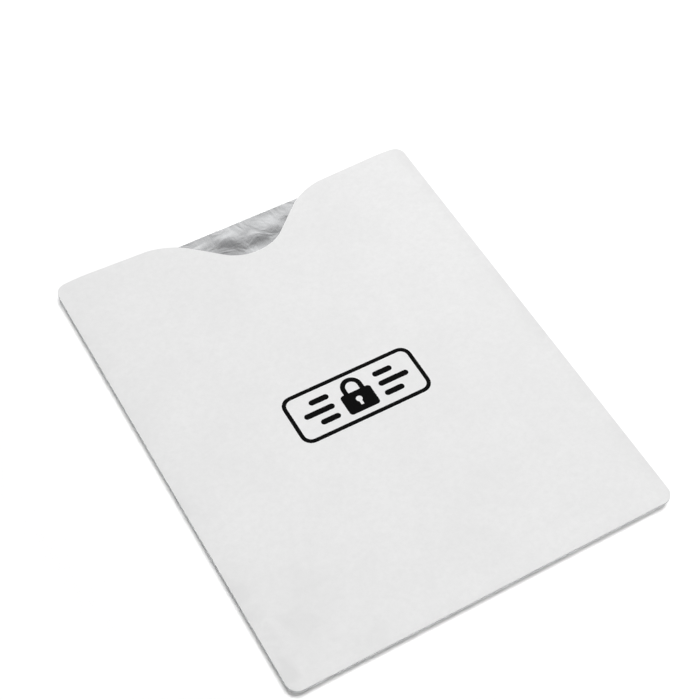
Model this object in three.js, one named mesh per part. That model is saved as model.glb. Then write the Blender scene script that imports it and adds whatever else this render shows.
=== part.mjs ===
// Radio-shielding travel sleeve: two walls of foil-laminated paper, sealed to each other along both
// sides and the foot and open at the head, with a bell-shaped thumb notch in the front wall.
// Millimetres. X runs across the sleeve, +Y towards the mouth, and +Z out of the front wall.
// The origin lies under the middle of the sleeve, on the surface that its back rests on.
import * as THREE from "three";

const { sin, cos, tan, asin, acos, sqrt, abs, max, PI } = Math;
const { clamp, degToRad } = THREE.MathUtils;

// Outline, die-cut through both walls
const WIDTH = 105;
const LENGTH = 131;
const CORNER_RADIUS = 3;

// Mouth edge of the front wall: shoulders that fall a little towards the bell-shaped notch
const SHOULDER_FALL = degToRad(2);
const NOTCH_DEPTH = 15;
const NOTCH_BOTTOM_RADIUS = 13;
const NOTCH_SHOULDER_RADIUS = 17;
const NOTCH_FLANK = degToRad(41.5);

// Plies of one wall, with the hairline that keeps them apart
const PAPER = 0.2;
const FILM = 0.05;
const FOIL = 0.05;
const PLY_GAP = 0.02;

// Hot-melt seal between the walls, held in from the cut edge
const SEAL_WIDTH = 2.5;
const SEAL_THICKNESS = 0.1;
const SEAL_INSET = 0.3;
const SEAL_BUTT_GAP = 0.3;

// How far each wall stands off the seal plane: the front stays nearly flat, the back makes the room.
// Each run is the distance in from the seal over which a wall gets there.
const FRONT_BULGE = 0.6;
const BACK_BULGE = 3.8;
const SIDE_RUN = 7;
const FOOT_RUN = 5.5;
const CORNER_POWER = 4;

// Steps along the curved stretches
const RUN_STEPS = 6;
const CORNER_STEPS = 4;
const ARC_STEPS = 5;

// Inner faces of the plies, measured out from the seal plane
const FOIL_FACE = SEAL_THICKNESS / 2 + PLY_GAP;
const FILM_FACE = FOIL_FACE + FOIL + PLY_GAP;
const PAPER_FACE = FILM_FACE + FILM + PLY_GAP;

const HALF_WIDTH = WIDTH / 2;
const SEAL_EDGE = HALF_WIDTH - SEAL_WIDTH;
const CORNER_START = HALF_WIDTH - CORNER_RADIUS;
const SEAL_PLANE = BACK_BULGE + PAPER_FACE + PAPER;

// The notch from the middle out: where its bottom arc, straight flank and shoulder arc end.
// The flank is as long as it takes for the shoulder line to reach the full length at the side.
const notch = (() => {
  const bottomEnd = NOTCH_BOTTOM_RADIUS * sin(NOTCH_FLANK);
  const bottomRise = NOTCH_BOTTOM_RADIUS * (1 - cos(NOTCH_FLANK));
  const shoulderRun = NOTCH_SHOULDER_RADIUS * (sin(NOTCH_FLANK) - sin(SHOULDER_FALL));
  const shoulderRise = NOTCH_SHOULDER_RADIUS * (cos(SHOULDER_FALL) - cos(NOTCH_FLANK));
  const straightRun = HALF_WIDTH - bottomEnd - shoulderRun;
  const riseLeft = NOTCH_DEPTH - bottomRise - shoulderRise - straightRun * tan(SHOULDER_FALL);
  const flankEnd = bottomEnd + riseLeft / (tan(NOTCH_FLANK) - tan(SHOULDER_FALL));
  return { bottomEnd, bottomRise, flankEnd, shoulderEnd: flankEnd + shoulderRun };
})();

// Mouth edge of the front wall at x, before its corners are rounded
function notchedMouth(x) {
  const out = abs(x);
  const bottom = LENGTH - NOTCH_DEPTH;
  if (out <= notch.bottomEnd) {
    return bottom + NOTCH_BOTTOM_RADIUS - sqrt(NOTCH_BOTTOM_RADIUS ** 2 - out ** 2);
  }
  if (out <= notch.flankEnd) {
    return bottom + notch.bottomRise + (out - notch.bottomEnd) * tan(NOTCH_FLANK);
  }
  const shoulderLine = (at) => LENGTH - (HALF_WIDTH - at) * tan(SHOULDER_FALL);
  if (out >= notch.shoulderEnd) {
    return shoulderLine(out);
  }
  const arcMiddle = notch.shoulderEnd + NOTCH_SHOULDER_RADIUS * sin(SHOULDER_FALL);
  const arcBase = shoulderLine(notch.shoulderEnd) - NOTCH_SHOULDER_RADIUS * cos(SHOULDER_FALL);
  return arcBase + sqrt(NOTCH_SHOULDER_RADIUS ** 2 - (arcMiddle - out) ** 2);
}

// Mouth edge of the back wall: straight across
function straightMouth() {
  return LENGTH;
}

// How far the rounded corners cut the outline back at x, at the foot and at the mouth alike
function cornerCut(x) {
  const into = max(0, abs(x) - CORNER_START);
  return CORNER_RADIUS - sqrt(CORNER_RADIUS ** 2 - into ** 2);
}

// Share of its bulge that a wall has at x, y: none on the seal, then a quarter sine up to the flat
function bulgeShare(x, y) {
  const side = clamp((SEAL_EDGE - abs(x)) / SIDE_RUN, 0, 1);
  const foot = clamp((y - SEAL_WIDTH) / FOOT_RUN, 0, 1);
  const short = ((1 - side) ** CORNER_POWER + (1 - foot) ** CORNER_POWER) ** (1 / CORNER_POWER);
  return sin((max(0, 1 - short) * PI) / 2);
}

// `count` even steps from `start` to `end`, both included
function steps(start, end, count) {
  return Array.from({ length: count + 1 }, (_, i) => start + ((end - start) * i) / count);
}

// A grid's columns on both sides of the middle, from those on the right
function mirrored(right) {
  return [...right.map((x) => -x).reverse(), 0, ...right];
}

// Columns of the notch: its bottom arc and shoulder arc in even turns, joined by the straight flank
const notchColumns = [
  ...steps(0, NOTCH_FLANK, ARC_STEPS)
    .slice(1)
    .map((turn) => NOTCH_BOTTOM_RADIUS * sin(turn)),
  ...steps(NOTCH_FLANK, SHOULDER_FALL, ARC_STEPS).map(
    (turn) => notch.flankEnd + NOTCH_SHOULDER_RADIUS * (sin(NOTCH_FLANK) - sin(turn)),
  ),
];

// Columns of the side: the wall's run down to the seal, then round the corner to the cut edge
const sideColumns = [
  ...steps(SEAL_EDGE - SIDE_RUN, SEAL_EDGE, RUN_STEPS),
  ...steps(asin((SEAL_EDGE - CORNER_START) / CORNER_RADIUS), PI / 2, CORNER_STEPS)
    .slice(1)
    .map((turn) => CORNER_START + CORNER_RADIUS * sin(turn)),
];

// Rows of the grid at x: over the foot's seal, up its run, then on to the mouth
function rowsAt(x, mouth) {
  const foot = cornerCut(x);
  const head = mouth(x) - foot;
  const flat = foot + SEAL_WIDTH + FOOT_RUN;
  return [foot, ...steps(foot + SEAL_WIDTH, flat, RUN_STEPS), (flat + head) / 2, head];
}

// A mesh under its own name
function named(name, geometry, material) {
  const mesh = new THREE.Mesh(geometry, material);
  mesh.name = name;
  return mesh;
}

// One ply as a closed sheet in the form of its wall: a face on each side, and a rim along the cut edge.
// `face` is the ply's inner face, out from the seal plane.
function ply(name, { side, bulge, mouth, columns }, face, thickness, material) {
  const places = [];
  for (const level of [face, face + thickness]) {
    for (const x of columns) {
      for (const y of rowsAt(x, mouth)) {
        const height = level + bulge * bulgeShare(x, y);
        places.push(x, y - LENGTH / 2, SEAL_PLANE + side * height);
      }
    }
  }
  const rowCount = rowsAt(0, mouth).length;
  const lastRow = rowCount - 1;
  const lastColumn = columns.length - 1;
  const inner = (i, j) => i * rowCount + j;
  const outer = (i, j) => inner(i, j) + columns.length * rowCount;

  const triangles = [];
  const addTriangle = (a, b, c) => triangles.push(...(side > 0 ? [a, b, c] : [a, c, b]));
  const addQuad = (a, b, c, d, turned) => {
    addTriangle(a, b, turned ? d : c);
    addTriangle(turned ? b : a, c, d);
  };
  const addRim = (i, j, nextI, nextJ) => {
    addQuad(inner(i, j), inner(nextI, nextJ), outer(nextI, nextJ), outer(i, j), false);
  };
  for (let i = 0; i < lastColumn; i++) {
    const onLeft = columns[i] < 0;
    for (let j = 0; j < lastRow; j++) {
      addQuad(outer(i, j), outer(i + 1, j), outer(i + 1, j + 1), outer(i, j + 1), onLeft);
      addQuad(inner(i, j + 1), inner(i + 1, j + 1), inner(i + 1, j), inner(i, j), !onLeft);
    }
    addRim(i, 0, i + 1, 0);
    addRim(i + 1, lastRow, i, lastRow);
  }
  for (let j = 0; j < lastRow; j++) {
    addRim(lastColumn, j, lastColumn, j + 1);
    addRim(0, j + 1, 0, j);
  }

  const geometry = new THREE.BufferGeometry();
  geometry.setAttribute("position", new THREE.Float32BufferAttribute(places, 3));
  geometry.setIndex(triangles);
  geometry.computeVertexNormals();
  return named(name, geometry, material);
}

// A wall's three plies: paper outside, bonding film, and the foil that lines the pocket
function wall(place, form) {
  const paper = new THREE.MeshStandardMaterial({ color: 0xe9eaeb, roughness: 0.75, metalness: 0 });
  const film = new THREE.MeshStandardMaterial({ color: 0xdfe3e5, roughness: 0.35, metalness: 0 });
  const foil = new THREE.MeshStandardMaterial({ color: 0xc9ccd0, roughness: 0.3, metalness: 1 });
  const group = new THREE.Group();
  group.add(
    ply(`${place}_paper`, form, PAPER_FACE, PAPER, paper),
    ply(`${place}_bond_film`, form, FILM_FACE, FILM, film),
    ply(`${place}_foil`, form, FOIL_FACE, FOIL, foil),
  );
  return group;
}

// A flat band of hot-melt in the seal plane
function sealBand(name, outline) {
  const geometry = new THREE.ExtrudeGeometry(outline, {
    depth: SEAL_THICKNESS,
    bevelEnabled: false,
    curveSegments: CORNER_STEPS,
  });
  geometry.translate(0, -LENGTH / 2, -SEAL_THICKNESS / 2);
  const hotMelt = new THREE.MeshStandardMaterial({ color: 0xe6e1d2, roughness: 0.5, metalness: 0 });
  const band = named(name, geometry, hotMelt);
  band.position.z = SEAL_PLANE;
  return band;
}

// Right-hand side seal: runs the whole side and follows the rounding of its two corners
function sideSeal(name) {
  const radius = CORNER_RADIUS - SEAL_INSET;
  const turn = acos((SEAL_EDGE - CORNER_START) / radius);
  const outline = new THREE.Shape();
  outline.absarc(CORNER_START, CORNER_RADIUS, radius, -turn, 0, false);
  outline.absarc(CORNER_START, LENGTH - CORNER_RADIUS, radius, 0, turn, false);
  outline.closePath();
  return sealBand(name, outline);
}

// The same seal turned over to the left-hand side
function leftSideSeal(name) {
  const seal = sideSeal(name);
  seal.rotation.y = PI;
  return seal;
}

// Foot seal: a strip between the two side seals
function footSeal(name) {
  const end = SEAL_EDGE - SEAL_BUTT_GAP;
  const outline = new THREE.Shape();
  outline.moveTo(-end, SEAL_INSET);
  outline.lineTo(end, SEAL_INSET);
  outline.lineTo(end, SEAL_WIDTH);
  outline.lineTo(-end, SEAL_WIDTH);
  outline.closePath();
  return sealBand(name, outline);
}

const frontForm = {
  side: 1,
  bulge: FRONT_BULGE,
  mouth: notchedMouth,
  columns: mirrored([...notchColumns, ...sideColumns]),
};
const backForm = {
  side: -1,
  bulge: BACK_BULGE,
  mouth: straightMouth,
  columns: mirrored(sideColumns),
};

const sleeve = new THREE.Group();
sleeve.add(
  wall("front", frontForm),
  wall("back", backForm),
  leftSideSeal("left_seal"),
  sideSeal("right_seal"),
  footSeal("foot_seal"),
);

export default sleeve;
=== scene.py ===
import math

import bpy
from mathutils import Matrix, Vector, noise


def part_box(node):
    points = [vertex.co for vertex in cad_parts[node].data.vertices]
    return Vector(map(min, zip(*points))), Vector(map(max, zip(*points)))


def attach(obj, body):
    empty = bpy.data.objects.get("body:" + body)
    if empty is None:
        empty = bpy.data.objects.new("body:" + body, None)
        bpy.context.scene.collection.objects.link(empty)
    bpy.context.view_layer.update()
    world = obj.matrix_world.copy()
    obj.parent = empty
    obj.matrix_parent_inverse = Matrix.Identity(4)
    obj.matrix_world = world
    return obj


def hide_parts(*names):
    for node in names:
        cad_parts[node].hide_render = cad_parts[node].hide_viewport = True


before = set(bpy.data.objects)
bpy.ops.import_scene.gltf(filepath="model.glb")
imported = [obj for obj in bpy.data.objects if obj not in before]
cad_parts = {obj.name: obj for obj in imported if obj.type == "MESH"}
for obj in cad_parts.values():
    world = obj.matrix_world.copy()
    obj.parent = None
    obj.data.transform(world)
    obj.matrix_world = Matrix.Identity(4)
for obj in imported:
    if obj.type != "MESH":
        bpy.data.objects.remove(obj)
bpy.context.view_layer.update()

MM = 0.001

# Outline and seals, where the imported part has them
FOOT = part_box("back_paper")[0].y
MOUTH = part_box("back_paper")[1].y
HALF_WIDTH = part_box("back_paper")[1].x
WIDTH = 2 * HALF_WIDTH
LENGTH = MOUTH - FOOT
SEAL_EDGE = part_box("right_seal")[0].x
SEAL_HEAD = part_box("foot_seal")[1].y
SEAL_PLANE = (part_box("foot_seal")[0].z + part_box("foot_seal")[1].z) / 2
CORNER_RADIUS = 3 * MM
CORNER_STEPS = 10

# Mouth edge of the front wall: shoulders that fall a little towards the bell-shaped notch
SHOULDER_FALL = math.radians(2)
NOTCH_DEPTH = 15 * MM
NOTCH_FLANK = math.radians(41.5)
NOTCH_BOTTOM_RADIUS = 13 * MM
NOTCH_BOTTOM_STEPS = 20
NOTCH_SHOULDER_RADIUS = 17 * MM
NOTCH_SHOULDER_STEPS = 16

# Plies of one wall
PAPER = 0.2 * MM
FILM = 0.05 * MM
FOIL = 0.05 * MM

# How far each wall stands off the seal plane, how far in from the seal it gets there, and the power
# that rounds its rise where a side meets the foot
FRONT_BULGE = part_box("front_paper")[1].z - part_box("front_paper")[0].z - PAPER
BACK_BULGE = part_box("back_paper")[1].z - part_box("back_paper")[0].z - PAPER
SIDE_RUN = 7 * MM
FOOT_RUN = 5.5 * MM
CORNER_POWER = 4

# The front is not taut: broad shallow waves, and dents where the sleeve has been held
SLACK = 0.14 * MM
SLACK_WAVES = (
    # wavelength, direction in degrees, phase in turns
    (61 * MM, 18, 0.15),
    (43 * MM, 74, 0.60),
    (34 * MM, 131, 0.35),
)
DENTS = (
    # x, y, radius, depth
    (9 * MM, -16 * MM, 11 * MM, 0.10 * MM),
    (33 * MM, 36 * MM, 10 * MM, 0.12 * MM),
    (-41 * MM, 22 * MM, 8 * MM, 0.10 * MM),
)

# Corner of the front that the sleeve is held by, and how far in from it the paper is creased and carries
# painted shade of its creases
HELD_CORNER = Vector((-HALF_WIDTH, FOOT, SEAL_PLANE))
HELD_REACH = 45 * MM
CRUMPLE_SIZE = 9 * MM
CRUMPLE_DEPTH = 0.5 * MM

# How far in from its two sides the paper carries painted shade, standing in for the shade where the
# sheet rolls away from the light
SIDE_SHADE_REACH = 4.5 * MM

# Foil crinkles: how far apart the creases lie, how high they stand, and where they end by the mouth
CRINKLE_SIZE = 8 * MM
CRINKLE_HEIGHT = 0.36 * MM
CRINKLE_FADE = 3 * MM

# Sizes of crease in paper and foil alike: the large ones, and one finer set between them
CREASE_SIZES = 2

# Meshes: pitch of the cuts that let a sheet bend, the angle up to which it is shaded smooth, how close
# to a place a point counts as there, and how close two points are merged
GRID = 1.5 * MM
SMOOTH_ANGLE = math.radians(35)
THERE = 0.01 * MM
MERGED = 0.001 * MM

# Printed mark: a padlock between plain bars in a rounded frame
MARK_MIDDLE = Vector((0, -2.5 * MM))
MARK_SIZE = Vector((37 * MM, 15 * MM))
MARK_CORNER = 3 * MM
MARK_CORNER_STEPS = 6
MARK_LINE = 1.1 * MM
LOCK_SIZE = Vector((8.6 * MM, 6.2 * MM))
LOCK_CORNER = 0.9 * MM
LOCK_DROP = 1.8 * MM
LOCK_GAP = 0.01 * MM
SHACKLE_RADIUS = 2.3 * MM
SHACKLE_LINE = 1.3 * MM
SHACKLE_LEG = 1.3 * MM
SHACKLE_STEPS = 24
KEYHOLE_RISE = 0.5 * MM
KEYHOLE_RADIUS = 0.85 * MM
KEYHOLE_STEPS = 24
KEYHOLE_SLOT = Vector((0.8 * MM, 1.9 * MM))
CUTTER_HEIGHT = 1 * MM
BAR_LINE = 1.6 * MM
BAR_PITCH = 3.2 * MM
BAR_START = 6.4 * MM
BAR_LENGTHS = (5.5 * MM, 8.5 * MM, 5.5 * MM)
# A hair under half the line, so that no edge of a bar's end shrinks to nothing
BAR_CORNER = BAR_LINE / 2 - 0.01 * MM
INK = 0.02 * MM
INK_GAP = 0.01 * MM

# Sockets of a Mix node for colours, by number because its other kinds use the same names
SHARE = 0
FIRST = 6
SECOND = 7
MIXED = 2

# Camera: where it looks, and from where
CAMERA_TARGET = Vector((5.5, 10.6, 4.62)) * MM
CAMERA_AZIMUTH = math.radians(-30.848)
CAMERA_ELEVATION = math.radians(54.071)
CAMERA_ROLL = math.radians(1.568)
CAMERA_DISTANCE = 422.42 * MM
CAMERA_LENS = 85
CAMERA_SENSOR = 36

# Floor: how much of its white is its own and not the lamps', by the sleeve and far off, and how far
# from the middle that share starts and stops growing
FLOOR_SIZE = 8
FLOOR_DROP = 0.03 * MM
FLOOR_LIFT = (0.04, 1)
FLOOR_LIFT_REACH = (0.085, 0.7)

# Room: the light that it gives, how bright its ceiling looks beside white walls, and between which
# upward slants, as sines, the wall turns to ceiling
ROOM_LEVEL = 0.04
CEILING_LEVEL = 0.15
CEILING_SLANT = (0.67, 0.83)

# A grey band round the walls, which the foil mirrors when it is seen from low down: how bright it
# looks, and between which upward slants it sets in and ends
BAND_LEVEL = 0.35
BAND_START = (0.22, 0.36)
BAND_END = (0.42, 0.56)

# Lamps: a large soft one overhead, and a small weak fill lamp close by on the right
LAMPS = (
    # name, place, size, power in watts, whether it casts shadows
    ("overhead_lamp", Vector((-0.08, -0.80, 4.9)), 1.5, 221.0, True),
    ("fill_lamp", Vector((0.20, 0.13, 0.20)), 0.12, 0.13, False),
)


# Modelling steps

def linear(code):
    """An sRGB hex colour as linear red, green, blue and alpha."""
    parts = [int(code[at:at + 2], 16) / 255 for at in (1, 3, 5)]
    return [c / 12.92 if c <= 0.04045 else ((c + 0.055) / 1.055) ** 2.4 for c in parts] + [1]


def select_alone(piece):
    """Makes a piece the only one selected, and the active one."""
    bpy.ops.object.select_all(action="DESELECT")
    piece.select_set(True)
    bpy.context.view_layer.objects.active = piece


def add_plane(name, size, middle, height):
    """A flat rectangle at its size and place, selected alone."""
    bpy.ops.object.select_all(action="DESELECT")
    bpy.ops.mesh.primitive_plane_add(size=1, location=(middle[0], middle[1], height))
    piece = bpy.context.object
    piece.name = piece.data.name = name
    piece.scale = (size[0], size[1], 1)
    bpy.ops.object.transform_apply(location=True, rotation=True, scale=True)
    return piece


def select_points(piece, wanted):
    """Enters edit mode with the points selected whose place passes the test."""
    bpy.ops.object.mode_set(mode="EDIT")
    bpy.ops.mesh.select_mode(type="VERT")
    bpy.ops.mesh.select_all(action="DESELECT")
    bpy.ops.object.mode_set(mode="OBJECT")
    for point in piece.data.vertices:
        point.select = wanted(point.co)
    bpy.ops.object.mode_set(mode="EDIT")


def near(*places):
    """A test for points that lie at one of the places, as seen from above."""
    spots = [Vector((place[0], place[1])) for place in places]
    return lambda co: any((co.xy - spot).length < THERE for spot in spots)


def both_sides(x, y):
    """A place's mirror image on the left of the middle line, and the place itself."""
    return [(-x, y), (x, y)]


def move_point(piece, start, end):
    """Moves the outline point at one place to another."""
    select_points(piece, near(start))
    bpy.ops.transform.translate(value=(end[0] - start[0], end[1] - start[1], 0))
    bpy.ops.object.mode_set(mode="OBJECT")


def round_corners(piece, radius, turn, steps, *corners):
    """Rounds corners of a flat outline, whose edges turn by that angle there."""
    select_points(piece, near(*corners))
    bpy.ops.mesh.bevel(
        offset=radius * math.tan(turn / 2), segments=steps, affect="VERTICES", clamp_overlap=False
    )
    bpy.ops.object.mode_set(mode="OBJECT")


def cut_grid(piece, pitch, *extra_cuts):
    """Cuts a piece along lines a pitch apart both ways, and along each extra (axis, place)."""
    cuts = list(extra_cuts)
    for axis in (0, 1):
        reach = max(abs(point.co[axis]) for point in piece.data.vertices)
        lines = math.floor(reach / pitch)
        cuts += [(axis, line * pitch) for line in range(-lines, lines + 1)]
    select_alone(piece)
    bpy.ops.object.mode_set(mode="EDIT")
    for axis, place in sorted(cuts):
        across = Vector((0, 0, 0))
        across[axis] = 1
        bpy.ops.mesh.select_all(action="SELECT")
        bpy.ops.mesh.bisect(plane_co=across * place, plane_no=across)
    bpy.ops.object.mode_set(mode="OBJECT")


def thicken(piece, rise):
    """Extrudes a flat sheet straight up, or down if the rise is negative, to a closed solid."""
    select_alone(piece)
    bpy.ops.object.mode_set(mode="EDIT")
    bpy.ops.mesh.select_all(action="SELECT")
    bpy.ops.mesh.extrude_region_move(TRANSFORM_OT_translate={"value": (0, 0, rise)})
    bpy.ops.mesh.select_all(action="SELECT")
    bpy.ops.mesh.normals_make_consistent(inside=False)
    bpy.ops.object.mode_set(mode="OBJECT")


def copy_piece(pattern, name):
    """A copy of a piece with a mesh of its own."""
    piece = pattern.copy()
    piece.data = pattern.data.copy()
    piece.name = piece.data.name = name
    bpy.context.scene.collection.objects.link(piece)
    return piece


def finish_piece(piece, material):
    """Smooth shading between the sharp edges, the finish, and the body that the piece rides on."""
    select_alone(piece)
    bpy.ops.object.shade_smooth_by_angle(angle=SMOOTH_ANGLE)
    piece.data.materials.clear()
    piece.data.materials.append(material)
    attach(piece, "root")


# Form of the walls

def bulge_share(x, y):
    """How far a wall has come off the seal plane, from 0 along the seals to 1 over the pocket."""
    side = min(1, max(0, (SEAL_EDGE - abs(x)) / SIDE_RUN))
    foot = min(1, max(0, (y - SEAL_HEAD) / FOOT_RUN))
    short = ((1 - side) ** CORNER_POWER + (1 - foot) ** CORNER_POWER) ** (1 / CORNER_POWER)
    return math.sin(max(0, 1 - short) * math.pi / 2)


def creases(x, y, size):
    """Sharp creases about a size apart: 0 along them, and higher between them."""
    return noise.turbulence(Vector((x, y, 0)) / size, CREASE_SIZES, True)


def crumple(x, y):
    """How deep the front is creased at a place, most by the corner that the sleeve is held by."""
    reach = math.hypot(x - HELD_CORNER.x, y - HELD_CORNER.y)
    return CRUMPLE_DEPTH * creases(x, y, CRUMPLE_SIZE) * max(0, 1 - reach / HELD_REACH)


def slack(x, y):
    """How far the front wall lies below its taut form, waves, dents and creases together."""
    wave = 0
    for length, direction, phase in SLACK_WAVES:
        turn = math.radians(direction)
        along = x * math.cos(turn) + y * math.sin(turn)
        wave += math.sin(2 * math.pi * (along / length + phase))
    # It lies lower by the ink's height all over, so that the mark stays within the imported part
    dip = SLACK * (0.5 + wave / (2 * len(SLACK_WAVES))) + INK_GAP + INK
    for dent_x, dent_y, radius, depth in DENTS:
        reach = math.hypot(x - dent_x, y - dent_y) / radius
        dip += depth * math.exp(-reach * reach)
    return dip + crumple(x, y)


def front_form(x, y):
    """Rise of the front wall above the seal plane."""
    return bulge_share(x, y) * (FRONT_BULGE - slack(x, y))


def back_form(x, y):
    """Drop of the back wall below the seal plane."""
    return -BACK_BULGE * bulge_share(x, y)


def crinkle(x, y):
    """How far the foil stands off its film into the pocket: creases, and none along seals and mouth."""
    fade = min(1, max(0, (MOUTH - y) / CRINKLE_FADE))
    return CRINKLE_HEIGHT * creases(x, y, CRINKLE_SIZE) * fade * bulge_share(x, y)


def crinkled(form, side):
    """The form of a wall's foil: the wall's own, with the crinkles on the pocket's side of it."""
    return lambda x, y: form(x, y) - side * crinkle(x, y)


def bend_to(piece, form):
    """Lifts every point of a flat piece by the wall's form at its place, which no operator gives."""
    for point in piece.data.vertices:
        point.co.z += form(point.co.x, point.co.y)
    piece.data.update()


# Walls

def wall_pattern(name):
    """The straight-mouthed outline of a wall, with its foot corners rounded."""
    pattern = add_plane(name, (WIDTH, LENGTH), (0, (FOOT + MOUTH) / 2), SEAL_PLANE)
    foot_corners = both_sides(HALF_WIDTH, FOOT)
    round_corners(pattern, CORNER_RADIUS, math.pi / 2, CORNER_STEPS, *foot_corners)
    return pattern


def back_pattern():
    """Outline of the back wall, with a straight mouth."""
    pattern = wall_pattern("back_pattern")
    mouth_corners = both_sides(HALF_WIDTH, MOUTH)
    round_corners(pattern, CORNER_RADIUS, math.pi / 2, CORNER_STEPS, *mouth_corners)
    return pattern


def front_pattern():
    """Outline of the front wall: the bell notch starts as a sharp V in the mouth and is rounded."""
    pattern = wall_pattern("front_pattern")
    select_points(pattern, lambda co: co.y > MOUTH - THERE)
    # Three new points on the mouth edge become the tip of the V and its shoulders
    bpy.ops.mesh.subdivide(number_cuts=3)
    bpy.ops.object.mode_set(mode="OBJECT")
    tip_sag = NOTCH_BOTTOM_RADIUS * (1 / math.cos(NOTCH_FLANK) - 1)
    tip = Vector((0, MOUTH - NOTCH_DEPTH - tip_sag))
    fall = math.tan(SHOULDER_FALL)
    flank = math.tan(NOTCH_FLANK)
    shoulder_x = (MOUTH - HALF_WIDTH * fall - tip.y) / (flank - fall)
    shoulders = both_sides(shoulder_x, tip.y + shoulder_x * flank)
    for start, end in zip(both_sides(HALF_WIDTH / 2, MOUTH), shoulders):
        move_point(pattern, start, end)
    move_point(pattern, (0, MOUTH), tip)
    shoulder_turn = NOTCH_FLANK - SHOULDER_FALL
    mouth_turn = math.pi / 2 + SHOULDER_FALL
    mouth_corners = both_sides(HALF_WIDTH, MOUTH)
    round_corners(pattern, NOTCH_BOTTOM_RADIUS, 2 * NOTCH_FLANK, NOTCH_BOTTOM_STEPS, tip)
    round_corners(pattern, NOTCH_SHOULDER_RADIUS, shoulder_turn, NOTCH_SHOULDER_STEPS, *shoulders)
    round_corners(pattern, CORNER_RADIUS, mouth_turn, CORNER_STEPS, *mouth_corners)
    return pattern


def add_ply(node, pattern, form, side, thickness, material):
    """One ply of a wall, cut from the wall's pattern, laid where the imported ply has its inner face."""
    low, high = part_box(node)
    inner_face = low.z if side > 0 else high.z
    ply = copy_piece(pattern, node + "_sheet")
    for point in ply.data.vertices:
        point.co.z = inner_face
    thicken(ply, side * thickness)
    bend_to(ply, form)
    finish_piece(ply, material)
    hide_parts(node)


# Printed mark

def add_bar(name, size, middle, corner, height):
    """A flat bar with rounded corners."""
    bar = add_plane(name, size, middle, height)
    half = Vector((size[0] / 2, size[1] / 2))
    corners = [(middle[0] + sx * half.x, middle[1] + sy * half.y) for sx in (-1, 1) for sy in (-1, 1)]
    round_corners(bar, corner, math.pi / 2, MARK_CORNER_STEPS, *corners)
    return bar


def mark_frame(height):
    """The mark's rounded frame: the inset middle of a rounded plate is taken out."""
    plate = add_bar("mark_frame", MARK_SIZE, MARK_MIDDLE, MARK_CORNER, height)
    bpy.ops.object.mode_set(mode="EDIT")
    bpy.ops.mesh.select_mode(type="FACE")
    bpy.ops.mesh.select_all(action="SELECT")
    bpy.ops.mesh.inset(thickness=MARK_LINE)
    bpy.ops.mesh.delete(type="FACE")
    bpy.ops.object.mode_set(mode="OBJECT")
    thicken(plate, INK)
    return plate


def mark_bars(height):
    """Three plain bars on each side of the padlock."""
    bars = []
    for side in (-1, 1):
        for row, length in enumerate(BAR_LENGTHS):
            middle = MARK_MIDDLE + Vector((side * (BAR_START + length / 2), (1 - row) * BAR_PITCH))
            bar = add_bar("mark_bar", (length, BAR_LINE), middle, BAR_CORNER, height)
            thicken(bar, INK)
            bars.append(bar)
    return bars


def keyhole_cutters(hole, height):
    """A round bar at the keyhole, and a square one for the slot below it."""
    bpy.ops.object.select_all(action="DESELECT")
    bpy.ops.mesh.primitive_cylinder_add(
        vertices=KEYHOLE_STEPS, radius=KEYHOLE_RADIUS, depth=CUTTER_HEIGHT,
        location=(hole.x, hole.y, height)
    )
    round_cutter = bpy.context.object
    bpy.ops.object.select_all(action="DESELECT")
    bpy.ops.mesh.primitive_cube_add(size=1, location=(hole.x, hole.y - KEYHOLE_SLOT.y / 2, height))
    slot_cutter = bpy.context.object
    slot_cutter.scale = (KEYHOLE_SLOT.x, KEYHOLE_SLOT.y, CUTTER_HEIGHT)
    return [round_cutter, slot_cutter]


def lock_body(middle, height):
    """The padlock's body, with its keyhole cut out."""
    body = add_bar("mark_lock", LOCK_SIZE, middle, LOCK_CORNER, height)
    thicken(body, INK)
    for cutter in keyhole_cutters(middle + Vector((0, KEYHOLE_RISE)), height):
        cut = body.modifiers.new("keyhole", "BOOLEAN")
        cut.object = cutter
        cut.operation = "DIFFERENCE"
        cut.solver = "EXACT"
        select_alone(body)
        bpy.ops.object.modifier_apply(modifier=cut.name)
        bpy.data.objects.remove(cutter)
    return body


def lock_shackle(foot, height):
    """The padlock's shackle: one leg, spun half a turn, and drawn down to the other leg's foot."""
    spring = foot + SHACKLE_LEG
    leg_middle = (SHACKLE_RADIUS, spring - SHACKLE_LEG / 2)
    shackle = add_plane("mark_shackle", (SHACKLE_LINE, SHACKLE_LEG), leg_middle, height)
    select_points(shackle, lambda co: co.y > spring - THERE)
    bpy.ops.mesh.spin(
        steps=SHACKLE_STEPS, angle=-math.pi, center=(0, spring, height), axis=(0, 0, 1)
    )
    bpy.ops.mesh.extrude_region_move(TRANSFORM_OT_translate={"value": (0, -SHACKLE_LEG, 0)})
    bpy.ops.mesh.select_all(action="SELECT")
    bpy.ops.mesh.remove_doubles(threshold=MERGED)
    bpy.ops.mesh.normals_make_consistent(inside=False)
    bpy.ops.object.mode_set(mode="OBJECT")
    thicken(shackle, INK)
    return shackle


def mark_lock(height):
    """The padlock's body and shackle, a hair apart."""
    middle = MARK_MIDDLE - Vector((0, LOCK_DROP))
    body = lock_body(middle, height)
    shackle = lock_shackle(middle.y + LOCK_SIZE.y / 2 + LOCK_GAP, height)
    return [body, shackle]


def add_mark(material):
    """The printed mark, one thin layer of ink that follows the front paper."""
    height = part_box("front_paper")[0].z + PAPER + INK_GAP
    layers = [mark_frame(height)] + mark_bars(height) + mark_lock(height)
    bpy.ops.object.select_all(action="DESELECT")
    for piece in layers:
        piece.select_set(True)
    mark = layers[0]
    bpy.context.view_layer.objects.active = mark
    bpy.ops.object.join()
    mark.name = mark.data.name = "printed_mark"
    cut_grid(mark, GRID)
    bend_to(mark, front_form)
    finish_piece(mark, material)


# Finishes

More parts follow.
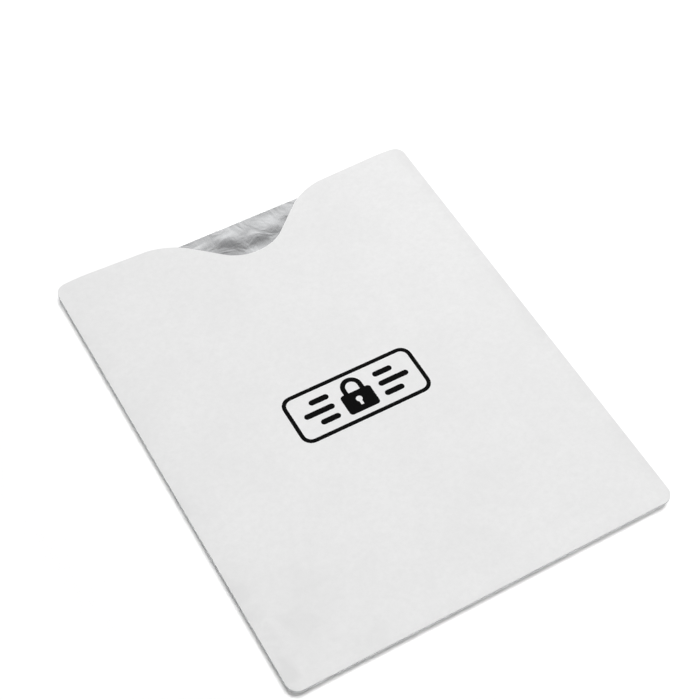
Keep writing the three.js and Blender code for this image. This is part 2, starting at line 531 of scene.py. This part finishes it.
def add_node(tree, kind, inputs, **settings):
    """Adds a node with its settings, and sets or links its inputs."""
    made = tree.nodes.new(kind)
    for setting, value in settings.items():
        setattr(made, setting, value)
    for socket, value in inputs.items():
        if isinstance(value, bpy.types.NodeSocket):
            tree.links.new(value, made.inputs[socket])
        else:
            made.inputs[socket].default_value = value
    return made


def start_material(name):
    """A new material's tree and shader, and the object's own coordinates in metres."""
    material = bpy.data.materials.new(name)
    material.use_nodes = True
    tree = material.node_tree
    place = add_node(tree, "ShaderNodeTexCoord", {}).outputs["Object"]
    return material, tree, tree.nodes["Principled BSDF"], place


def coated_paper():
    """Calendered white paper with a matte coating: an even, neutral white, finely flecked where the
    fibres lie denser, and faintly clouded.
    Painted shade makes it greyer in blotches towards the foot corner that it is held by, standing in for
    the shade of the creases there, and greyer along its sides, standing in for the shade where the sheet
    rolls away from the light. A tooth only softens the highlight."""
    material, tree, shader, place = start_material("coated_white_paper")
    # Real fibre flocks are under 1 mm; they are drawn at 1.4 mm so that they show
    flocks = add_node(tree, "ShaderNodeTexNoise", {
        "Vector": place, "Scale": 1 / (1.4 * MM), "Detail": 3, "Roughness": 0.7})
    flecked = add_node(tree, "ShaderNodeMix", {
        SHARE: flocks.outputs["Fac"], FIRST: linear("#E3E3E3"), SECOND: linear("#F0F0F0")},
        data_type="RGBA")
    clouds = add_node(tree, "ShaderNodeTexNoise", {
        "Vector": place, "Scale": 1 / (15 * MM), "Detail": 3, "Roughness": 0.55})
    clouded = add_node(tree, "ShaderNodeMapRange", {
        "Value": clouds.outputs["Fac"], "From Min": 0.4, "From Max": 0.75, "To Max": 0.3})
    # Painted shade: greyer towards the held foot corner, standing in for the shade of the creases there
    away = add_node(tree, "ShaderNodeVectorMath", {0: place, 1: HELD_CORNER}, operation="DISTANCE")
    held = add_node(tree, "ShaderNodeMapRange", {
        "Value": away.outputs["Value"],
        "From Min": 0, "From Max": HELD_REACH, "To Min": 1, "To Max": 0})
    # Painted shade: greyer towards each side, standing in for the shade where the sheet rolls away from
    # the light
    across = add_node(tree, "ShaderNodeSeparateXYZ", {"Vector": place})
    off_middle = add_node(tree, "ShaderNodeMath", {0: across.outputs["X"]}, operation="ABSOLUTE")
    painted_side_shade = add_node(tree, "ShaderNodeMapRange", {
        "Value": off_middle.outputs[0],
        "From Min": HALF_WIDTH - SIDE_SHADE_REACH, "From Max": HALF_WIDTH, "To Max": 0.7})
    painted_shade = add_node(tree, "ShaderNodeMath", {
        0: held.outputs["Result"], 1: painted_side_shade.outputs["Result"]}, operation="ADD")
    # Blotches that break up the painted shade
    shade_blotches = add_node(tree, "ShaderNodeTexNoise", {
        "Vector": place, "Scale": 1 / (6 * MM), "Detail": 3, "Roughness": 0.6, "Distortion": 0.5})
    blotched_shade = add_node(tree, "ShaderNodeMapRange", {
        "Value": shade_blotches.outputs["Fac"],
        "From Min": 0.45, "From Max": 0.7, "To Min": 0.3, "To Max": 1})
    # Painted shade in blotches, added to the random clouds
    shade_and_clouds = add_node(tree, "ShaderNodeMath", {
        0: painted_shade.outputs[0], 1: blotched_shade.outputs["Result"], 2: clouded.outputs["Result"]},
        operation="MULTIPLY_ADD")
    # The painted shade and the clouds mix the paper towards this grey
    colour = add_node(tree, "ShaderNodeMix", {
        SHARE: shade_and_clouds.outputs[0], FIRST: flecked.outputs[MIXED], SECOND: linear("#E0E0E0")},
        data_type="RGBA")
    tree.links.new(colour.outputs[MIXED], shader.inputs["Base Color"])
    rough = add_node(tree, "ShaderNodeMapRange", {
        "Value": flocks.outputs["Fac"], "To Min": 0.58, "To Max": 0.7})
    tree.links.new(rough.outputs["Result"], shader.inputs["Roughness"])
    # The coating's tooth is some 0.05 mm; it is drawn at 0.4 mm so that it shows
    tooth = add_node(tree, "ShaderNodeTexNoise", {
        "Vector": place, "Scale": 1 / (0.4 * MM), "Detail": 2, "Roughness": 0.6})
    bump = add_node(tree, "ShaderNodeBump", {
        "Height": tooth.outputs["Fac"], "Strength": 0.6, "Distance": 0.025 * MM})
    tree.links.new(bump.outputs["Normal"], shader.inputs["Normal"])
    shader.inputs["IOR"].default_value = 1.45
    shader.inputs["Specular IOR Level"].default_value = 0.35
    return material


def rolled_foil():
    """Aluminium foil, rolled bright, lacquered and laminated: a soft silver sheen drawn out in fine
    lines along the rolling direction, broken by creases from handling. The lacquer scatters a little
    light, so the depth of the pocket is dark grey and not black."""
    material, tree, shader, place = start_material("rolled_aluminium_foil")
    # Rolling lines are some 0.02 mm apart; they are drawn 0.8 mm apart so that they show
    drawn_out = add_node(tree, "ShaderNodeMapping", {
        "Vector": place, "Scale": (1 / (0.8 * MM), 1 / (40 * MM), 1)})
    lines = add_node(tree, "ShaderNodeTexNoise", {
        "Vector": drawn_out.outputs["Vector"], "Scale": 1, "Detail": 3, "Roughness": 0.6})
    crinkles = add_node(tree, "ShaderNodeTexNoise", {
        "Vector": place, "Scale": 1 / (5 * MM), "Detail": 2, "Roughness": 0.5, "Distortion": 0.6})
    colour = add_node(tree, "ShaderNodeMix", {
        SHARE: lines.outputs["Fac"], FIRST: linear("#D6D7D9"), SECOND: linear("#ECEDEE")},
        data_type="RGBA")
    tree.links.new(colour.outputs[MIXED], shader.inputs["Base Color"])
    rough = add_node(tree, "ShaderNodeMapRange", {
        "Value": lines.outputs["Fac"], "To Min": 0.12, "To Max": 0.2})
    tree.links.new(rough.outputs["Result"], shader.inputs["Roughness"])
    fine = add_node(tree, "ShaderNodeBump", {
        "Height": lines.outputs["Fac"], "Strength": 0.2, "Distance": 0.02 * MM})
    bump = add_node(tree, "ShaderNodeBump", {
        "Height": crinkles.outputs["Fac"], "Strength": 0.5, "Distance": 0.3 * MM,
        "Normal": fine.outputs["Normal"]})
    tree.links.new(bump.outputs["Normal"], shader.inputs["Normal"])
    shader.inputs["Metallic"].default_value = 0.85
    return material


def bonding_film():
    """Extruded polyethylene film: milky and slightly cool, with a soft gloss and faint die lines."""
    material, tree, shader, place = start_material("polyethylene_bonding_film")
    # Die lines are a fraction of a millimetre apart; they are drawn 1.5 mm apart so that they show
    drawn_out = add_node(tree, "ShaderNodeMapping", {
        "Vector": place, "Scale": (1 / (1.5 * MM), 1 / (40 * MM), 1)})
    lines = add_node(tree, "ShaderNodeTexNoise", {
        "Vector": drawn_out.outputs["Vector"], "Scale": 1, "Detail": 2})
    colour = add_node(tree, "ShaderNodeMix", {
        SHARE: lines.outputs["Fac"], FIRST: linear("#D9E0E2"), SECOND: linear("#E6EBEC")},
        data_type="RGBA")
    tree.links.new(colour.outputs[MIXED], shader.inputs["Base Color"])
    rough = add_node(tree, "ShaderNodeMapRange", {
        "Value": lines.outputs["Fac"], "To Min": 0.24, "To Max": 0.36})
    tree.links.new(rough.outputs["Result"], shader.inputs["Roughness"])
    shader.inputs["IOR"].default_value = 1.51
    return material


def hot_melt():
    """Hot-melt adhesive, pressed flat while soft: a waxy straw colour with a dull, uneven sheen."""
    material, tree, shader, place = start_material("set_hot_melt")
    flow = add_node(tree, "ShaderNodeTexNoise", {
        "Vector": place, "Scale": 1 / (3 * MM), "Detail": 3, "Distortion": 0.8})
    colour = add_node(tree, "ShaderNodeMix", {
        SHARE: flow.outputs["Fac"], FIRST: linear("#DCD3BC"), SECOND: linear("#EBE5D3")},
        data_type="RGBA")
    tree.links.new(colour.outputs[MIXED], shader.inputs["Base Color"])
    rough = add_node(tree, "ShaderNodeMapRange", {
        "Value": flow.outputs["Fac"], "To Min": 0.4, "To Max": 0.6})
    tree.links.new(rough.outputs["Result"], shader.inputs["Roughness"])
    shader.inputs["IOR"].default_value = 1.48
    return material


def printing_ink():
    """Matte black offset ink on coated paper: a dense neutral black, a touch thinner here and there
    where the paper took it unevenly."""
    material, tree, shader, place = start_material("black_offset_ink")
    density = add_node(tree, "ShaderNodeTexNoise", {
        "Vector": place, "Scale": 1 / (0.7 * MM), "Detail": 3, "Roughness": 0.6})
    colour = add_node(tree, "ShaderNodeMix", {
        SHARE: density.outputs["Fac"], FIRST: linear("#030303"), SECOND: linear("#0B0B0B")},
        data_type="RGBA")
    tree.links.new(colour.outputs[MIXED], shader.inputs["Base Color"])
    rough = add_node(tree, "ShaderNodeMapRange", {
        "Value": density.outputs["Fac"], "To Min": 0.5, "To Max": 0.65})
    tree.links.new(rough.outputs["Result"], shader.inputs["Roughness"])
    shader.inputs["IOR"].default_value = 1.48
    shader.inputs["Specular IOR Level"].default_value = 0.04
    return material


# Studio

def seen_directly(tree):
    """1 on rays that look at the background, straight or through gloss or glass, and 0 on light."""
    path = add_node(tree, "ShaderNodeLightPath", {})
    straight = add_node(tree, "ShaderNodeMath", {
        0: path.outputs["Is Camera Ray"], 1: path.outputs["Is Glossy Ray"]}, operation="MAXIMUM")
    through = add_node(tree, "ShaderNodeMath", {
        0: straight.outputs[0], 1: path.outputs["Is Transmission Ray"]}, operation="MAXIMUM")
    return through.outputs[0]


def add_floor():
    """A plain white floor that keeps the sleeve's shadow."""
    floor = add_plane("floor", (FLOOR_SIZE, FLOOR_SIZE), (0, 0), -FLOOR_DROP)
    material = bpy.data.materials.new("white_studio_floor")
    material.use_nodes = True
    tree = material.node_tree
    tree.nodes.remove(tree.nodes["Principled BSDF"])
    matte = add_node(tree, "ShaderNodeBsdfDiffuse", {"Color": linear("#FFFFFF")})
    place = add_node(tree, "ShaderNodeTexCoord", {}).outputs["Object"]
    reach = add_node(tree, "ShaderNodeVectorMath", {0: place}, operation="LENGTH")
    white_share = add_node(tree, "ShaderNodeMapRange", {
        "Value": reach.outputs["Value"],
        "From Min": FLOOR_LIFT_REACH[0], "From Max": FLOOR_LIFT_REACH[1],
        "To Min": FLOOR_LIFT[0], "To Max": FLOOR_LIFT[1]})
    lift = add_node(tree, "ShaderNodeMath", {
        0: seen_directly(tree), 1: white_share.outputs["Result"]}, operation="MULTIPLY")
    white = add_node(tree, "ShaderNodeEmission", {"Strength": lift.outputs[0]})
    both = add_node(tree, "ShaderNodeAddShader", {0: matte.outputs[0], 1: white.outputs[0]})
    tree.links.new(both.outputs[0], tree.nodes["Material Output"].inputs["Surface"])
    floor.data.materials.append(material)


def add_light():
    """A white room with a grey band round its walls, and lamps turned to the sleeve."""
    world = bpy.data.worlds.new("white_room")
    world.use_nodes = True
    bpy.context.scene.world = world
    tree = world.node_tree
    direction = add_node(tree, "ShaderNodeTexCoord", {}).outputs["Generated"]
    slant = add_node(tree, "ShaderNodeSeparateXYZ", {"Vector": direction}).outputs["Z"]
    band = add_node(tree, "ShaderNodeMapRange", {
        "Value": slant, "From Min": BAND_START[0], "From Max": BAND_START[1],
        "To Min": 1, "To Max": BAND_LEVEL})
    wall = add_node(tree, "ShaderNodeMapRange", {
        "Value": slant, "From Min": BAND_END[0], "From Max": BAND_END[1],
        "To Min": band.outputs["Result"], "To Max": 1})
    shown = add_node(tree, "ShaderNodeMapRange", {
        "Value": slant, "From Min": CEILING_SLANT[0], "From Max": CEILING_SLANT[1],
        "To Min": wall.outputs["Result"], "To Max": CEILING_LEVEL})
    level = add_node(tree, "ShaderNodeMapRange", {
        "Value": seen_directly(tree), "To Min": ROOM_LEVEL, "To Max": shown.outputs["Result"]})
    background = tree.nodes["Background"]
    background.inputs["Color"].default_value = linear("#FFFFFF")
    tree.links.new(level.outputs["Result"], background.inputs["Strength"])
    for name, place, size, power, shadows in LAMPS:
        lamp = bpy.data.objects.new(name, bpy.data.lights.new(name, "AREA"))
        lamp.data.size = size
        lamp.data.energy = power
        lamp.data.use_shadow = shadows
        lamp.visible_camera = False
        lamp.location = place
        lamp.rotation_euler = place.to_track_quat("Z", "Y").to_euler()
        bpy.context.scene.collection.objects.link(lamp)


def add_camera():
    """The camera at the picture's angle."""
    data = bpy.data.cameras.new("picture_camera")
    data.lens = CAMERA_LENS
    data.sensor_width = CAMERA_SENSOR
    camera = bpy.data.objects.new("picture_camera", data)
    level = math.cos(CAMERA_ELEVATION)
    back = Vector((
        math.sin(CAMERA_AZIMUTH) * level,
        -math.cos(CAMERA_AZIMUTH) * level,
        math.sin(CAMERA_ELEVATION),
    ))
    across = Vector((math.cos(CAMERA_AZIMUTH), math.sin(CAMERA_AZIMUTH), 0))
    turn = Matrix((across, back.cross(across), back)).transposed()
    turn = turn @ Matrix.Rotation(CAMERA_ROLL, 3, "Z")
    place = CAMERA_TARGET + CAMERA_DISTANCE * back
    camera.matrix_world = Matrix.Translation(place) @ turn.to_4x4()
    bpy.context.scene.collection.objects.link(camera)
    bpy.context.scene.camera = camera


# The sleeve

add_camera()
add_floor()
add_light()
bpy.context.scene.view_settings.view_transform = "Standard"

paper = coated_paper()
film = bonding_film()
foil = rolled_foil()
seal_cuts = [(0, -SEAL_EDGE), (0, SEAL_EDGE), (1, SEAL_HEAD)]
for wall, pattern, form, side in (
    ("front", front_pattern(), front_form, 1),
    ("back", back_pattern(), back_form, -1),
):
    cut_grid(pattern, GRID, *seal_cuts)
    add_ply(wall + "_paper", pattern, form, side, PAPER, paper)
    add_ply(wall + "_bond_film", pattern, form, side, FILM, film)
    add_ply(wall + "_foil", pattern, crinkled(form, side), side, FOIL, foil)
    bpy.data.objects.remove(pattern)

adhesive = hot_melt()
for node in ("left_seal", "right_seal", "foot_seal"):
    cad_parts[node].data.materials.clear()
    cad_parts[node].data.materials.append(adhesive)

add_mark(printing_ink())
